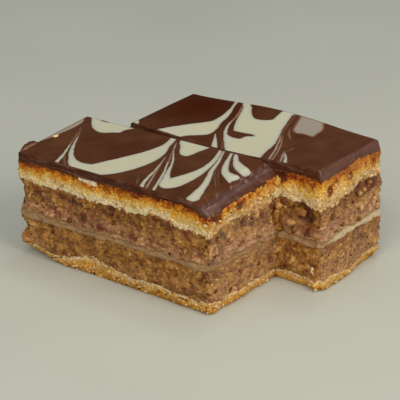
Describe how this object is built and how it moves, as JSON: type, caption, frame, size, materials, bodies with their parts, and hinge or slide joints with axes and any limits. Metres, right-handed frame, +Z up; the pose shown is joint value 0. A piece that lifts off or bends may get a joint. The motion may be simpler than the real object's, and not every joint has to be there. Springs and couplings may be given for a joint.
{
  "type": "walnut cake slice",
  "caption": "Layered walnut cake slice with pastry sheets, walnut filling and marbled chocolate glaze, cut into bars that still touch along the cut.",
  "frame": {"origin": "centre of the bounding box, on the plane that the base rests on", "axes": "+X along the bars to the right, +Y across them away from the front cut face, +Z up"},
  "size_m": [0.11, 0.0788, 0.0481],
  "materials": {
    "base_pastry": "baked pastry, pale crumb above a golden underside, matte and porous",
    "walnut_filling": "moist ground-walnut crumb, jam-soaked below, matte with a faint wet gloss",
    "middle_sheet": "thin moist pastry sheet, pale and dense, matte",
    "top_pastry": "baked pastry, browned crust above a pale open crumb, matte",
    "chocolate_glaze": "set dark chocolate with cream-white feathered marbling, satin gloss"
  },
  "bodies": {
    "root": {"front_base_pastry": "base_pastry", "front_lower_filling": "walnut_filling", "front_middle_sheet": "middle_sheet", "front_upper_filling": "walnut_filling", "front_top_pastry": "top_pastry", "front_glaze": "chocolate_glaze", "rear_base_pastry": "base_pastry", "rear_lower_filling": "walnut_filling", "rear_middle_sheet": "middle_sheet", "rear_upper_filling": "walnut_filling", "rear_top_pastry": "top_pastry", "rear_glaze": "chocolate_glaze"}
  },
  "joints": []
}
